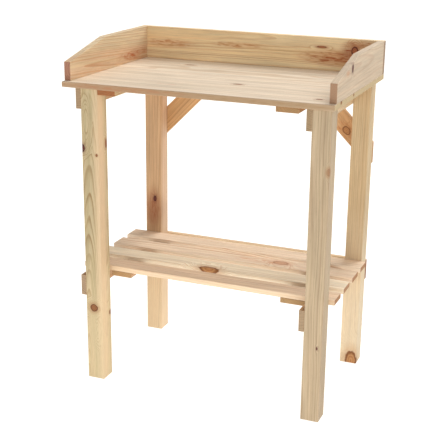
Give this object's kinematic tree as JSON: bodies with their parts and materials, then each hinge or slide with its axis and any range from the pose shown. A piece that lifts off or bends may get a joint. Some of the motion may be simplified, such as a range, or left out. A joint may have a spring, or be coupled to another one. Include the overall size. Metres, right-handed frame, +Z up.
{
  "type": "potting bench",
  "caption": "Small pine potting bench with a tray-like worktop, a slatted shelf between its legs and braces at the back.",
  "frame": {"origin": "on the floor, under the centre of the worktop", "axes": "+X to the bench's right, seen from the front; +Y to its back, where the tall upstand is; +Z up"},
  "size_m": [0.604, 0.4, 0.759],
  "materials": {
    "worktop_pine": "raw planed pine, satin, pale and slightly grey",
    "upstand_pine": "raw planed pine, satin, warm yellow",
    "leg_pine": "raw planed pine, satin, greenish tan with dark knots",
    "rail_pine": "raw planed pine, satin",
    "brace_pine": "raw planed pine, satin, orange tan",
    "slat_pine": "raw planed pine, satin, pale",
    "dowel_beech": "fluted beech dowel, matt",
    "zinc_steel": "zinc plated steel, satin"
  },
  "bodies": {
    "root": {"worktop_panel": "worktop_pine", "back_upstand": "upstand_pine", "left_upstand": "upstand_pine", "right_upstand": "upstand_pine", "front_left_leg": "leg_pine", "back_left_leg": "leg_pine", "front_right_leg": "leg_pine", "back_right_leg": "leg_pine", "left_upper_rail": "rail_pine", "right_upper_rail": "rail_pine", "left_lower_rail": "rail_pine", "right_lower_rail": "rail_pine", "upper_back_rail": "rail_pine", "lower_back_rail": "rail_pine", "left_top_batten": "rail_pine", "right_top_batten": "rail_pine", "left_shelf_batten": "rail_pine", "right_shelf_batten": "rail_pine", "left_back_brace": "brace_pine", "right_back_brace": "brace_pine", "shelf_slat_1": "slat_pine", "shelf_slat_2": "slat_pine", "shelf_slat_3": "slat_pine", "shelf_slat_4": "slat_pine", "back_rail_dowels": "dowel_beech", "side_rail_screws": "zinc_steel", "back_rail_screws": "zinc_steel", "upstand_screws": "zinc_steel", "corner_screws": "zinc_steel", "top_batten_screws": "zinc_steel", "shelf_batten_screws": "zinc_steel", "brace_leg_screws": "zinc_steel", "brace_rail_screws": "zinc_steel", "bracket_screws": "zinc_steel", "worktop_brackets": "zinc_steel"}
  },
  "joints": []
}
